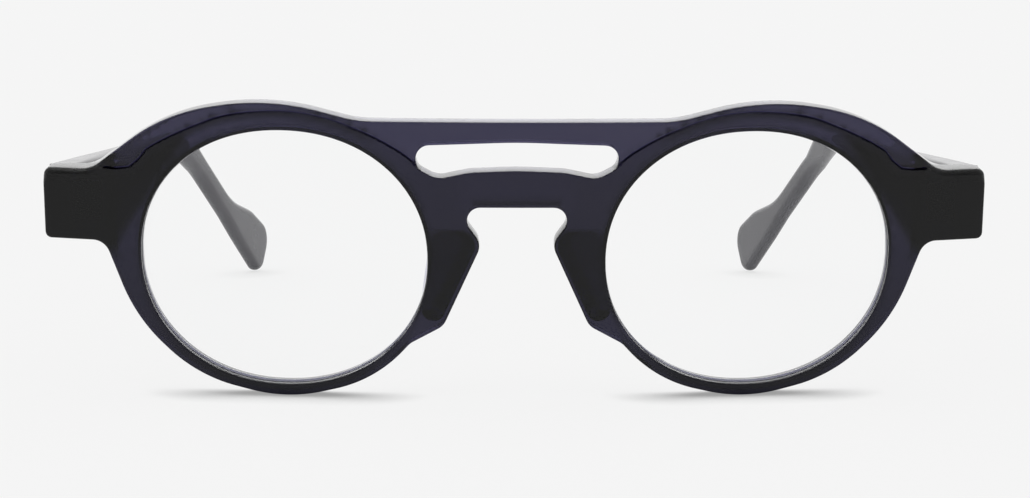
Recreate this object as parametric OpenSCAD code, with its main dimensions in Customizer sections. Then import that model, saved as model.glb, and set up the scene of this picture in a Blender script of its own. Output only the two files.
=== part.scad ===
// Aviator eyeglasses with a straight top bar, made of acetate sheet.
// X runs across the face, the front faces -Y, Z is up. The glasses stand open on a
// table at z = 0, on both rims and both temple tips, with the origin under the middle.

/* [Front] */
// Width over the two end pieces
front_w = 140; // [134:1:148]
// Thickness of the acetate sheet
sheet_t = 4; // [3.6:0.1:4.6]
// Radius of the front's curve, seen from above
face_r = 294; // [250:2:400]
// Lean of the front, its top away from the temples
tilt = 6; // [3:0.5:9]
// Height of the bar's top edge above the lowest edge of the rims
bar_top = 41.2; // [40:0.1:43]
// Height of the straight top bar
bar_h = 2.9; // [2.4:0.1:4]

/* [Lenses] */
// Width of the hole that shows each lens
hole_w = 42.4; // [38:0.2:46]
// Height of the hole that shows each lens
hole_h = 38.1; // [34:0.1:39]
// Distance between the two holes at the nose
hole_gap = 26; // [24:0.5:30]
// Squareness of the hole: 2 is an ellipse
hole_square = 2.1; // [2:0.05:2.4]
// Thickness of each lens
lens_t = 1.6; // [1.2:0.1:2]
// Depth of the groove that holds the lens
groove_d = 0.8; // [0.5:0.1:1]
// Distance of the groove behind the front surface
groove_in = 1.1; // [0.9:0.1:1.2]
// Play between a lens and its groove
lens_play = 0.05; // [0.02:0.01:0.1]

/* [Rims] */
// Narrowest width of the rim, under the lens
rim_w = 1.5; // [1.2:0.1:2.5]
// Width of the rim at its lower outer side
rim_side_w = 3.2; // [2.5:0.1:4]
// Width of the brow above the lens
brow_w = 4.5; // [3.8:0.1:5.5]
// Width of the brow where it falls to the end piece
brow_end_w = 6.9; // [6:0.1:8]

/* [End pieces] */
// Height of each end piece
end_h = 10.6; // [9.6:0.1:12]
// Distance of its top edge below the top edge of the bar
end_drop = 8.2; // [7.6:0.1:9]
// Extra thickness of the end piece behind the sheet, at its outer side
end_more = 0.1; // [0.1:0.1:1]
// Length of the thick part that takes the hinge
end_block = 9.4; // [9:0.1:11]

/* [Bridge and pads] */
// Height of the lower bridge at its middle
bridge_h = 5.5; // [4.5:0.1:7]
// Height of the slot between bridge and bar at its middle
slot_h = 4.1; // [3.5:0.1:5]
// Length of the slot
slot_w = 30.6; // [26:0.2:31]
// Depth of the nose pads behind the sheet
pad_d = 5.5; // [4:0.1:7]
// Flare of the nose pads, outwards to the back
pad_flare = 1.6; // [1:0.1:2.5]

/* [Hinges] */
// Radius of the hinge knuckles
knuckle_r = 1.5; // [1.3:0.05:1.6]
// Height of one knuckle
knuckle_h = 1.1; // [1:0.05:1.3]
// Radius of the hinge screw
screw_r = 0.7; // [0.6:0.05:0.8]
// Radius of the screw's head
screw_head_r = 1.25; // [1.1:0.05:1.3]
// Height of the screw's head
screw_head_h = 0.8; // [0.6:0.1:1]
// Thickness of the hinge leaves
leaf_t = 1; // [0.8:0.1:1.2]
// Length of the leaf in the temple
leaf_l = 7; // [6:0.5:10]
// Running play between knuckles, and round the screw
hinge_play = 0.05; // [0.03:0.01:0.08]
// Gap between the end piece and the open temple
butt_play = 0.1; // [0.05:0.01:0.2]

/* [Temples] */
// Thickness of the temple at the hinge
temple_t = 4; // [3.6:0.1:4.4]
// Thickness of the temple at the bend
bend_t = 3.4; // [3:0.1:3.8]
// Thickness of the temple at its tip
tip_t = 2.8; // [2.6:0.1:3.2]
// Length of the temple from the hinge to the bend
bend_l = 97.5; // [90:0.5:104]
// Turn of the temples towards each other
toe_in = 3.1; // [1:0.1:4]
// Turn of the ear ends towards each other
tip_toe_in = 16.5; // [10:0.5:20]
// Slope of the ear ends
drop_angle = 35; // [28:0.5:42]
// Height of the temple in front of the bend
shaft_h = 4.5; // [4:0.1:6]
// Widest height of the flat tip
tip_h = 11; // [9:0.1:12]
// Radius of the round end of the tip
tip_r = 4.3; // [3.8:0.1:4.6]
// Length of the widened tip
tip_l = 21; // [19:0.5:26]
// Width of the metal core
core_h = 2; // [1.6:0.1:2.4]
// Thickness of the metal core
core_t = 1.2; // [1:0.1:1.6]
// Play round the core
core_play = 0.04; // [0.02:0.01:0.1]

/* [Hidden] */

acetate = [0.16, 0.15, 0.22];
metal = [0.75, 0.76, 0.78];
clear = [0.9, 0.93, 0.95, 0.3];
$fn = 96;
arc_step = 5;
far = 60;
spare = 6;
end_slant = 2.5;

// Widths that differ a little along the brow and the rim, and the lens hole's lift
brow_less = 1.2;
rim_more = 0.45;
lens_lift = 0.1;

// Directions of the straight edges round each lens, and the rounds where edges meet:
// over the brow, at the end piece and under the lens
brow_dirs = [104, 80, 53];
rim_dirs = [-21, -47, -77, -104, -137.5];
brow_radii = [18, 36, 28, 1.6];
end_radii = [0.8, 0.9, 2.6];
rim_radii = [24, 22, 23, 20];

// Corners beside the nose, and at the slot's end: out, up and the round there
foot_at = [2.6, -12.4, 3.1];
toe_at = [-2.3, -9.7, 2.7];
head_at = [-7.9, 2.6, 2.4];
arch_at = [-3.9, 0, 1.9];
slot_at = [[0, -0.6, 2], [-0.9, 0.2, 1.6], [-3.7, -1.3, 2], [-8.4, -0.3, 9]];

// Rounds at the corners of the nose pad, from the toe and the head of that outline
pad_at = [[1.5, 1.7, 1.7], [3.2, -0.9, 2.2], [5.8, -0.3, 1.6]];
pad_edge = 1.1;
pad_thin = 0.3;
pad_sink = 1;
block_over = 1;

// Fits and small features of the hinge and the core
sink_play = 0.04;
leaf_side = 1;
leaf_proud = 0.05;
leaf_back = 0.4;
anchor_r = 0.5;
anchor_l = 1.6;
anchor_v = 1.7;
screw_slot_w = 0.3;
knuckle_clear = 0.2;
front_web_less = 0.4;
temple_web_more = 0.3;
core_start = 3;

// Bends and rounds of the temple, and its taper behind the hinge and at the tip
bend_r = 36;
plan_r = 88;
shaft_drop = 0.6;
root_l = 20;
root_rise = 0.6;
root_r = 90;
tip_radii = [20, 16, 14];
tip_full = 0.45;
tip_taper = 0.2;

// Places on the flat pattern of the front: u runs out from the nose, v up from the table
half_w = front_w / 2;
hole_a = hole_w / 2;
hole_b = hole_h / 2;
lens_u = hole_gap / 2 + hole_a;
lens_v = rim_w + hole_b + lens_lift;
end_top = bar_top - end_drop;
end_bottom = end_top - end_h;
slot_top = bar_top - bar_h;
slot_bottom = slot_top - slot_h;
arch_top = slot_bottom - bridge_h;
inner_u = hole_gap / 2;

// Depth of the front surface, and of the surface d behind it, from the foremost line
function under_y(u, d) = face_r - sqrt(pow(face_r - d, 2) - u * u);
function face_y(u) = under_y(u, 0);

// Outline of a lens hole grown by g
function hole_point(a, g) =
    let (c = cos(a), s = sin(a), k = 2 / hole_square)
    [lens_u + sign(c) * (hole_a + g) * pow(abs(c), k),
     lens_v + sign(s) * (hole_b + g) * pow(abs(s), k)];
function hole_outline(g) = [for (a = [0 : 6 : 359]) hole_point(a, g)];

// A straight edge is [x, y, d]: it faces [x, y] and lies d from the origin
function edge(dir, d) = [cos(dir), sin(dir), d];
function hole_reach(dir) =
    let (m = hole_square / (hole_square - 1))
    pow(pow(abs(hole_a * cos(dir)), m) + pow(abs(hole_b * sin(dir)), m), 1 / m);
function rim_edge(dir, w) = edge(dir, lens_u * cos(dir) + lens_v * sin(dir) + hole_reach(dir) + w);

// The same edge moved inside by r
function inside(p, r) = [p[0], p[1], p[2] - r];

// Corner of radius r where two straight edges meet
function corner(p, q, r) =
    let (det = p[0] * q[1] - p[1] * q[0])
    [(p[2] * q[1] - q[2] * p[1]) / det, (p[0] * q[2] - q[0] * p[2]) / det, r];

// Direction and length from corner a to corner b, and the angle at corner b
function flat(a) = [a[0], a[1]];
function reach(a, b) = norm(flat(b) - flat(a));
function way(a, b) = (flat(b) - flat(a)) / reach(a, b);
function opening(a, b, c) = acos(way(b, a) * way(b, c));

// Points of the tangent arc of radius r at corner b of the path a, b, c
function fillet(a, b, c, r) =
    let (d1 = way(b, a), d2 = way(b, c), open = opening(a, b, c))
    r == 0 ? [flat(b)] :
    let (mid = flat(b) + (d1 + d2) / norm(d1 + d2) * r / sin(open / 2),
         start = flat(b) + d1 * r / tan(open / 2) - mid,
         a1 = atan2(start[1], start[0]),
         side = sign(d1[0] * d2[1] - d1[1] * d2[0]),
         turn = side * (180 - open),
         n = max(2, ceil(abs(turn) / arc_step)))
    [for (i = [0 : n]) mid + r * [cos(a1 - turn * i / n), sin(a1 - turn * i / n)]];

// The path's corners rounded, each arc with no more than its room on the two edges
function rounded(c) =
    let (n = len(c),
         foot = [for (i = [0 : n - 1])
             c[i][2] == 0 ? 0 : c[i][2] / tan(opening(c[(i + n - 1) % n], c[i], c[(i + 1) % n]) / 2)],
         room = [for (i = [0 : n - 1])
             let (both = foot[i] + foot[(i + 1) % n])
             both == 0 ? 1 : min(1, reach(c[i], c[(i + 1) % n]) / both)])
    [for (i = [0 : n - 1])
        let (before = (i + n - 1) % n)
        each fillet(c[before], c[i], c[(i + 1) % n], c[i][2] * min(room[before], room[i]))];
function mirrored(c) =
    concat(c, [for (i = [len(c) - 1 : -1 : 0]) if (c[i][0] > 0) [-c[i][0], c[i][1], c[i][2]]]);

// Edges of the right half of the front, in order from the bar round to the arch
top_edge = edge(90, bar_top);
brow_in = rim_edge(brow_dirs[0], brow_w - brow_less);
brow_mid = rim_edge(brow_dirs[1], brow_w);
brow_out = rim_edge(brow_dirs[2], brow_end_w);
end_over = edge(90, end_top);
end_side = edge(0, half_w);
end_under = edge(-90, -end_bottom);
rim_ws = [rim_side_w, rim_w + rim_more, rim_w, rim_w, rim_w];
rim_edges = [for (i = [0 : 4]) rim_edge(rim_dirs[i], rim_ws[i])];

// Corners of the part that takes the nose pad, and of the pad itself
function beside(p, at) = [p[0] + at[0], p[1] + at[1], at[2]];
pad_foot = beside([inner_u, lens_v], foot_at);
pad_toe = beside([inner_u, lens_v], toe_at);
pad_head = beside([inner_u, lens_v], head_at);
arch_end = beside([inner_u, arch_top], arch_at);
pad_rounds = [beside(pad_toe, pad_at[0]), beside(pad_head, pad_at[1]), beside(pad_head, pad_at[2])];

half_front = concat(
    [corner(top_edge, brow_in, brow_radii[0]), corner(brow_in, brow_mid, brow_radii[1]),
     corner(brow_mid, brow_out, brow_radii[2]), corner(brow_out, end_over, brow_radii[3]),
     corner(end_over, end_side, end_radii[0]), corner(end_side, end_under, end_radii[1]),
     corner(end_under, rim_edges[0], end_radii[2])],
    [for (i = [0 : 3]) corner(rim_edges[i], rim_edges[i + 1], rim_radii[i])],
    [pad_foot, pad_toe, pad_head, arch_end]);
half_slot = [[0, slot_top, 0],
    beside([slot_w / 2, slot_top], slot_at[0]),
    beside([slot_w / 2, slot_bottom], slot_at[1]),
    beside([slot_w / 2, slot_bottom], slot_at[2]),
    beside([slot_w / 2, slot_bottom], slot_at[3]),
    [0, slot_bottom, 0]];

// Where the front stands: lowest edge of the rims on the table
low_arc = corner(inside(rim_edges[2], rim_radii[2]), inside(rim_edges[3], rim_radii[2]), 0);
low_z = face_y(low_arc[0]) * sin(tilt) + (low_arc[1] - rim_radii[2]) * cos(tilt);
function stand_y(y, v) = y * cos(tilt) - v * sin(tilt);
function stand_z(y, v) = y * sin(tilt) + v * cos(tilt) - low_z;

// Hinge: its screw stands inside the temple and behind the end piece
butt_y = under_y(half_w, sheet_t) + end_more;
temple_y = stand_y(butt_y, end_top);
hinge_gap = knuckle_r + knuckle_clear;
pin_y = butt_y + hinge_gap;
pin_v = (end_top + end_bottom) / 2;
pin_x = half_w - temple_t - hinge_gap - (stand_y(pin_y, pin_v) - temple_y) * tan(toe_in);
barrel_h = 5 * knuckle_h + 4 * hinge_play;
bore_r = screw_r + hinge_play;

// Side view of the temple: y runs back, z up from the table
temple_top = stand_z(butt_y, end_top);
temple_low = stand_z(butt_y, end_bottom);
bend_y = temple_y + bend_l;
shaft_top = temple_top - shaft_drop;
mid_z = shaft_top - shaft_h / 2;
drop_l = (mid_z - tip_r) / sin(drop_angle);
tip_y = bend_y + drop_l * cos(drop_angle);
function along(d, h) = [tip_y - d * cos(drop_angle) + h * sin(drop_angle),
                        tip_r + d * sin(drop_angle) + h * cos(drop_angle)];
function with_r(p, r) = [p[0], p[1], r];

// The origin is under the middle of the whole length
front_y = stand_y(0, bar_top);
shift_y = -(front_y + tip_y + tip_r) / 2;

module stand_front() {
    translate([0, shift_y, -low_z])
        rotate([tilt, 0, 0])
            children();
}

// Draws a pattern of the front as a block that runs back from y = 0
module along_y(depth) {
    translate([0, depth, 0])
        rotate([90, 0, 0])
            linear_extrude(depth) children();
}

// All that lies behind the front surface by more than d
module behind(d) {
    translate([0, face_r, -far])
        cylinder(r = face_r - d, h = 3 * far, $fn = 360);
}

module both_sides() {
    for (side = [0, 1])
        mirror([side, 0, 0])
            children();
}

module front_pattern() {
    difference() {
        polygon(rounded(mirrored(half_front)));
        polygon(rounded(mirrored(half_slot)));
    }
}

// Seen from above: the part of the end piece that is thick enough for the hinge
module end_plan() {
    block_u = half_w - end_block;
    polygon([[block_u - end_slant, 0],
        [block_u - end_slant, under_y(block_u, sheet_t / 2)],
        [block_u, butt_y],
        [half_w + spare, butt_y],
        [half_w + spare, 0]]);
}

module front_frame() {
    color(acetate)
        stand_front()
            difference() {
                union() {
                    intersection() {
                        along_y(far / 2) front_pattern();
                        difference() {
                            behind(0);
                            behind(sheet_t);
                        }
                    }
                    both_sides()
                        intersection() {
                            along_y(far / 2) front_pattern();
                            translate([0, 0, end_bottom - block_over])
                                linear_extrude(end_h + 2 * block_over) end_plan();
                            behind(0);
                        }
                }
                both_sides() {
                    translate([0, -spare, 0])
                        along_y(far) polygon(hole_outline(0));
                    lens_block(groove_d, groove_in - lens_play, groove_in + lens_t + lens_play);
                    front_plate(sink_play, leaf_t);
                }
            }
}

// A curved slice of the sheet in the shape of the lens hole grown by g
module lens_block(g, near, back) {
    intersection() {
        along_y(far / 2) polygon(hole_outline(g));
        difference() {
            behind(near);
            behind(back);
        }
    }
}

module lens() {
    color(clear)
        stand_front()
            lens_block(groove_d - lens_play, groove_in, groove_in + lens_t);
}

// Acetate pad glued behind the rim beside the nose, drawn in towards its back
module nose_pad() {
    root = under_y(inner_u, sheet_t);
    color(acetate)
        stand_front()
            intersection() {
                behind(sheet_t);
                hull() {
                    pad_slice(root - pad_sink, 0, 0);
                    pad_slice(root + pad_d * 0.3, 0, pad_edge / 10);
                    pad_slice(root + pad_d * 0.8, pad_flare / 2, pad_edge / 2);
                    pad_slice(root + pad_d - pad_thin, pad_flare, pad_edge);
                }
            }
}

// One thin slice of the pad at the depth y, moved out by m and drawn in by g
module pad_slice(y, m, g) {
    for (c = pad_rounds)
        translate([c[0] + m, y + pad_thin, c[1]])
            rotate([90, 0, 0])
                cylinder(r = c[2] - g, h = pad_thin, $fn = 32);
}

// Knuckles of the hinge barrel, counted from the bottom
module knuckles(picks) {
    for (i = picks)
        translate([pin_x, pin_y, knuckle_v(i)])
            cylinder(r = knuckle_r, h = knuckle_h);
}
function knuckle_v(i) = pin_v - barrel_h / 2 + i * (knuckle_h + hinge_play);

module pin_hole(r) {
    translate([pin_x, pin_y, pin_v - barrel_h])
        cylinder(r = r, h = 2 * barrel_h);
}

// Plate sunk in the back of the end piece and its two anchors, all grown by g and
// open to the back by open
module front_plate(g, open) {
    plate_w = 2 * knuckle_r + leaf_side;
    translate([pin_x + knuckle_r - plate_w - g, butt_y - leaf_t - g, pin_v - barrel_h / 2 - g])
        cube([plate_w + 2 * g, leaf_t + g + open, barrel_h + 2 * g]);
    for (k = [-1, 1])
        translate([pin_x + knuckle_r - plate_w / 2, butt_y - leaf_t / 2, pin_v + k * anchor_v])
            rotate([90, 0, 0])
                cylinder(r = anchor_r + g, h = leaf_t / 2 + anchor_l + g);
}

module hinge_front() {
    color(metal)
        stand_front()
            difference() {
                union() {
                    front_plate(0, 0);
                    knuckles([0, 2, 4]);
                    for (i = [0, 2, 4])
                        translate([pin_x - knuckle_r, butt_y - leaf_t / 2, knuckle_v(i)])
                            cube([2 * knuckle_r - front_web_less, hinge_gap + leaf_t / 2, knuckle_h]);
                }
                pin_hole(screw_r + sink_play / 2);
            }
}

module hinge_screw() {
    top = pin_v + barrel_h / 2 + hinge_play;
    color(metal)
        stand_front()
            difference() {
                union() {
                    translate([pin_x, pin_y, pin_v - barrel_h / 2])
                        cylinder(r = screw_r, h = barrel_h + 2 * hinge_play);
                    translate([pin_x, pin_y, top])
                        cylinder(r = screw_head_r, h = screw_head_h);
                }
                translate([pin_x - 2 * screw_head_r, pin_y - screw_slot_w / 2, top + screw_head_h / 2])
                    cube([4 * screw_head_r, screw_slot_w, screw_head_h]);
            }
}

// Turns what is drawn round the screw's axis, with the temple's inner face along Y
module at_pin() {
    stand_front()
        translate([pin_x, pin_y, 0])
            rotate([0, 0, toe_in])
                children();
}

// Plate sunk in the inner face of the temple, grown by g and open to the inside by open
module temple_plate(g, open) {
    start = butt_play + leaf_back - hinge_gap;
    translate([hinge_gap - leaf_proud - open, start - g, pin_v - barrel_h / 2 - g])
        cube([leaf_t + g + open, leaf_l + 2 * g, barrel_h + 2 * g]);
}

module hinge_temple() {
    color(metal)
        difference() {
            union() {
                at_pin() temple_plate(0, 0);
                stand_front() knuckles([1, 3]);
                at_pin()
                    for (i = [1, 3])
                        translate([0, -temple_web_more, knuckle_v(i)])
                            cube([hinge_gap + leaf_t / 2, knuckle_r + temple_web_more, knuckle_h]);
            }
            stand_front() pin_hole(bore_r);
        }
}

// A side view drawn in y and z, as a block across X
module across_x() {
    rotate([90, 0, 90])
        linear_extrude(far * 2) children();
}

// Side view of the temple, from in front of the hinge to the round tip
module temple_side() {
    half = shaft_h / 2;
    wide = tip_h / 2;
    full = tip_l * tip_full;
    taper = tip_l * tip_taper;
    lean = atan2(wide, taper) + acos(tip_r / norm([taper, wide]));
    tip_corner = tip_r * (1 + cos(lean)) / sin(lean);
    cut = half * tan(drop_angle / 2);
    polygon(rounded([
        [temple_y - spare, temple_top, 0],
        [bend_y + cut, shaft_top, bend_r + half],
        with_r(along(tip_l, half), tip_radii[0]),
        with_r(along(full, wide), tip_radii[1]),
        with_r(along(taper, wide), tip_radii[2]),
        with_r(along(-tip_r, tip_corner), tip_r),
        with_r(along(-tip_r, -tip_corner), tip_r),
        with_r(along(taper, -wide), tip_radii[2]),
        with_r(along(full, -wide), tip_radii[1]),
        with_r(along(tip_l, -half), tip_radii[0]),
        [bend_y - cut, mid_z - half, bend_r - half],
        [temple_y + root_l, temple_low + root_rise, root_r],
        [temple_y - spare, temple_low, 0]]));
}

// Plan of an upright band along the temple, with its depths below the outer face on
// either side, at the hinge, the bend and the tip
module temple_plan(out, in) {
    middle = (toe_in + tip_toe_in) / 2;
    slant = [cos(middle), sin(middle)] / cos(middle - toe_in);
    tip_slant = [cos(tip_toe_in), sin(tip_toe_in)];
    start = [half_w + spare * tan(toe_in), temple_y - spare];
    outer = [half_w - bend_l * tan(toe_in), bend_y];
    tip = outer + (tip_y + tip_r + spare - bend_y) / cos(tip_toe_in) * [-tip_slant[1], tip_slant[0]];
    polygon(rounded([
        [start[0] - out[0], start[1], 0],
        with_r(outer - out[1] * slant, plan_r),
        with_r(tip - out[2] * tip_slant, 0),
        with_r(tip - in[2] * tip_slant, 0),
        with_r(outer - in[1] * slant, plan_r),
        [start[0] - in[0], start[1], 0]]));
}

module temple() {
    color(acetate)
        difference() {
            translate([0, shift_y, 0])
                difference() {
                    intersection() {
                        across_x() temple_side();
                        linear_extrude(far) temple_plan([0, 0, 0], [temple_t, bend_t, tip_t]);
                    }
                    core_shape(core_play);
                }
            stand_front()
                translate([0, butt_y + butt_play - far, 0])
                    cube([2 * far, far, far]);
            at_pin() temple_plate(sink_play, leaf_t);
        }
}

// Metal core grown by g, in the middle of the temple's height and thickness
module core_shape(g) {
    half = core_h / 2 + g;
    out = ([temple_t, bend_t, tip_t] - [core_t, core_t, core_t]) / 2;
    more = [g, g, g];
    cut = half * tan(drop_angle / 2);
    start = temple_y + leaf_l + core_start;
    start_z = (temple_top + temple_low) / 2;
    end = tip_l / 2 - g;
    intersection() {
        across_x()
            polygon(rounded([
                [start - g, start_z + half, 0],
                [bend_y + cut, mid_z + half, bend_r + half],
                with_r(along(end, half), 0),
                with_r(along(end, -half), 0),
                [bend_y - cut, mid_z - half, bend_r - half],
                [start - g, start_z - half, 0]]));
        linear_extrude(far)
            temple_plan(out - more, [temple_t, bend_t, tip_t] - out + more);
    }
}

module temple_core() {
    color(metal)
        translate([0, shift_y, 0])
            core_shape(0);
}

module right_side() {
    mirror([1, 0, 0])
        children();
}

front_frame();
nose_pad();  // nose_pad_left
right_side() nose_pad();  // nose_pad_right
lens();  // lens_left
right_side() lens();  // lens_right
hinge_front();  // hinge_front_left
right_side() hinge_front();  // hinge_front_right
hinge_temple();  // hinge_temple_left
right_side() hinge_temple();  // hinge_temple_right
hinge_screw();  // hinge_screw_left
right_side() hinge_screw();  // hinge_screw_right
temple();  // temple_left
right_side() temple();  // temple_right
temple_core();  // temple_core_left
right_side() temple_core();  // temple_core_right
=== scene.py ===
"""Aviator eyeglasses in dark acetate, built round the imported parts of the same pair."""

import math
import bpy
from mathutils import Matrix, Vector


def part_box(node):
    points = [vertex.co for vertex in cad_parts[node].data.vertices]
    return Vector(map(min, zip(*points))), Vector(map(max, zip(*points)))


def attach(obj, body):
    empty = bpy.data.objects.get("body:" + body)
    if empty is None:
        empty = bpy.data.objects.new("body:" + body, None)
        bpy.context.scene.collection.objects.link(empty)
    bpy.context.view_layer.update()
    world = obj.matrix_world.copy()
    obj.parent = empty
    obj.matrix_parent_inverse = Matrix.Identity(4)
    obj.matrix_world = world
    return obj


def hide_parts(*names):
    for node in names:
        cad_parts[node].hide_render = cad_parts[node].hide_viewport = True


bl_info = {
    "name": "Aviator Eyeglasses",
    "version": (1, 0, 0),
    "blender": (4, 5, 0),
    "location": "3D View > Sidebar > Eyeglasses",
    "description": "Builds the acetate front, temples, nose pads and lenses of a pair of eyeglasses",
    "category": "Add Mesh",
}

import bmesh
import bpy
import numpy as np
from mathutils import Matrix, Vector
from mathutils.geometry import delaunay_2d_cdt

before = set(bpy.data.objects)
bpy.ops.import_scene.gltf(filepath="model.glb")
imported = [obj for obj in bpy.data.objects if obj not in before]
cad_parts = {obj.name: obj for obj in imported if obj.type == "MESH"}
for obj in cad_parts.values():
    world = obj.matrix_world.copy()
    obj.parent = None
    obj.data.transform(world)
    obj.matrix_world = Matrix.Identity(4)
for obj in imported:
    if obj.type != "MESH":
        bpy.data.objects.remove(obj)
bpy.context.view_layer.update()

MM = 0.001
FRONT_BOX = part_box("front_frame")
SIDES = (("left", 1), ("right", -1))


class EyeglassSizes(bpy.types.PropertyGroup):
    """Sizes of the front, the temples and their rounds"""

    front_width: bpy.props.FloatProperty(
        name="Front width", description="Width over the two end pieces",
        default=FRONT_BOX[1].x - FRONT_BOX[0].x, unit="LENGTH")
    sheet: bpy.props.FloatProperty(
        name="Sheet", description="Thickness of the acetate sheet", default=4 * MM, unit="LENGTH")
    face_radius: bpy.props.FloatProperty(
        name="Face radius", description="Radius of the front's curve, seen from above",
        default=294 * MM, unit="LENGTH")
    tilt: bpy.props.FloatProperty(
        name="Tilt", description="Lean of the front", default=math.radians(6), subtype="ANGLE")
    hole_width: bpy.props.FloatProperty(
        name="Lens opening width", description="Width of each lens opening",
        default=42.4 * MM, unit="LENGTH")
    hole_height: bpy.props.FloatProperty(
        name="Lens opening height", description="Height of each lens opening",
        default=38.1 * MM, unit="LENGTH")
    hole_gap: bpy.props.FloatProperty(
        name="Nose gap", description="Distance between the two lens openings",
        default=26 * MM, unit="LENGTH")
    edge_round: bpy.props.FloatProperty(
        name="Edge round", description="Round of the polished outer edges",
        default=0.3 * MM, unit="LENGTH")
    hole_round: bpy.props.FloatProperty(
        name="Lens edge round", description="Round of the edge along each lens",
        default=0.28 * MM, unit="LENGTH")
    crease_depth: bpy.props.FloatProperty(
        name="Crease depth", description="Depth of the brow behind the lens ring",
        default=0.32 * MM, unit="LENGTH")
    temple_round: bpy.props.FloatProperty(
        name="Temple round", description="Round of the temples' long edges",
        default=1.6 * MM, unit="LENGTH")


COLOUR = {"subtype": "COLOR", "size": 3, "min": 0, "max": 1}


class EyeglassColours(bpy.types.PropertyGroup):
    """Colours and finishes"""

    tint: bpy.props.FloatVectorProperty(
        name="Acetate tint", description="Colour that light takes on inside the acetate",
        **COLOUR, default=(0.13, 0.11, 0.29))
    density: bpy.props.FloatProperty(
        name="Acetate density", description="Light that the acetate takes in, for each metre",
        default=1000)
    pad_density: bpy.props.FloatProperty(
        name="Pad density", description="Light that the paler acetate of the pads takes in, for each metre",
        default=350)
    temple: bpy.props.FloatVectorProperty(
        name="Temples", description="Colour of the dense acetate of the temples",
        **COLOUR, default=(0.058, 0.057, 0.066))
    # Painted shade: the colour that the front darkens to where its painted shade is deepest
    painted_shade: bpy.props.FloatVectorProperty(
        name="Smoke", description="Tint where the acetate of the front is smokiest",
        **COLOUR, default=(0.012, 0.012, 0.03))
    lens_edge: bpy.props.FloatVectorProperty(
        name="Lens edge", description="Colour of the ground edge of the lenses",
        **COLOUR, default=(0.34, 0.34, 0.43))
    metal: bpy.props.FloatVectorProperty(
        name="Hinge metal", description="Colour of the hinges, screws and cores",
        **COLOUR, default=(0.72, 0.71, 0.69))
    floor: bpy.props.FloatVectorProperty(
        name="Floor", description="Colour of the floor",
        **COLOUR, default=(0.9, 0.9, 0.9))


# Flat pattern of the front, in millimetres: u runs out from the nose, v up from the table
FRONT = {
    "bar_top": 41.2, "bar_height": 2.9, "slot_height": 4.1, "slot_width": 30.6, "bridge_height": 5.5,
    "rim": 1.5, "lens_lift": 0.1, "hole_square": 2.1,
    "end_drop": 8.2, "end_height": 10.6, "end_more": 0.1, "end_block": 9.4,
    "groove_depth": 0.55, "groove_width": 1.3,
    "lens_in": 1.15, "lens_thick": 1.5, "lens_edge": 0.45,
}
# Edges of the brow: the direction they face, and their distance from the lens opening
BROW_EDGES = ((104, 3.3), (80, 4.5), (53, 6.9))
# Edges round the rim: the direction they face, and how much wider than the rim it is there
RIM_EDGES = ((-21, 1.7), (-47, 0.45), (-77, 0), (-104, 0), (-137.5, 0))
# Rounds between the edges, from the top bar over the end piece and round the rim
FOOT_ROUND = 23
EDGE_ROUNDS = (18, 36, 28, 5, 1.2, 0.9, 2.6, 24, 22, FOOT_ROUND, 20)
# Corners beside the nose, from the inner end of the lens opening, with their rounds
NOSE_FOOT, NOSE_TOE, NOSE_HEAD = (2.6, -12.4, 3.1), (-2.3, -9.7, 2.7), (-7.9, 2.6, 2.4)
ARCH_IN, ARCH_ROUND = 3.9, 1.9
# Corners of the slot, from its end and its top or bottom, with their rounds
SLOT_HIGH = (0, -0.6, 2)
SLOT_LOW = ((-0.9, 0.2, 1.6), (-3.7, -1.3, 3.2), (-8.4, -0.3, 9))
SLOT_TOP_ROUND, SLOT_BOTTOM_ROUND = 90, 60


def sizes():
    return bpy.context.scene.eyeglass_sizes


def colours():
    return bpy.context.scene.eyeglass_colours


def cosd(a):
    return math.cos(math.radians(a))


def sind(a):
    return math.sin(math.radians(a))


def tand(a):
    return math.tan(math.radians(a))


def rise(x, start, length):
    """A smooth step from 0 at start to 1 at start + length, which may lie below it."""
    t = max(0.0, min(1.0, (x - start) / length))
    return t * t * (3 - 2 * t)


def toward(value, target, amount):
    return value + (target - value) * amount


def even(r):
    """The same round at every point."""
    return lambda p: r


def straight(direction, distance):
    """A straight edge that faces a direction."""
    return cosd(direction), sind(direction), distance


def corner(p, q, r):
    """Where two straight edges meet, with the round there."""
    det = p[0] * q[1] - p[1] * q[0]
    return (p[2] * q[1] - q[2] * p[1]) / det, (p[0] * q[2] - q[0] * p[2]) / det, r


def arc(a, b, c, r, gap=1, steps=None):
    """Points round the corner at b, about gap apart or in a number of steps."""
    to_a, to_c = (a - b).normalized(), (c - b).normalized()
    opening = math.acos(max(-1, min(1, to_a.dot(to_c))))
    middle = b + (to_a + to_c).normalized() * r / math.sin(opening / 2)
    start = b + to_a * r / math.tan(opening / 2) - middle
    turn = math.copysign(math.pi - opening, to_a.x * to_c.y - to_a.y * to_c.x)
    steps = steps or max(4, math.ceil(abs(turn) * r / gap))
    out = []
    for k in range(steps + 1):
        t = math.atan2(start.y, start.x) - turn * k / steps
        out.append(middle + r * Vector((math.cos(t), math.sin(t))))
    return out


def rounded(path, gap):
    """A closed path with its corners rounded, in steps of about gap."""
    out = []
    count = len(path)
    for i in range(count):
        a, b, c = (Vector(path[j % count][:2]) for j in (i - 1, i, i + 1))
        out += arc(a, b, c, path[i][2], gap=gap)
    return out


def spaced(path, gap, closed=True):
    """The path with points no further than gap apart."""
    out = []
    pairs = zip(path, path[1:] + path[:1]) if closed else zip(path, path[1:])
    for a, b in pairs:
        steps = max(1, math.ceil((b - a).length / gap))
        out += [a.lerp(b, k / steps) for k in range(steps)]
    if not closed:
        out.append(path[-1])
    clean = [out[0]]
    for p in out[1:]:
        if (p - clean[-1]).length > gap / 20:
            clean.append(p)
    if closed and (clean[0] - clean[-1]).length < gap / 20:
        clean.pop()
    return clean


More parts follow.
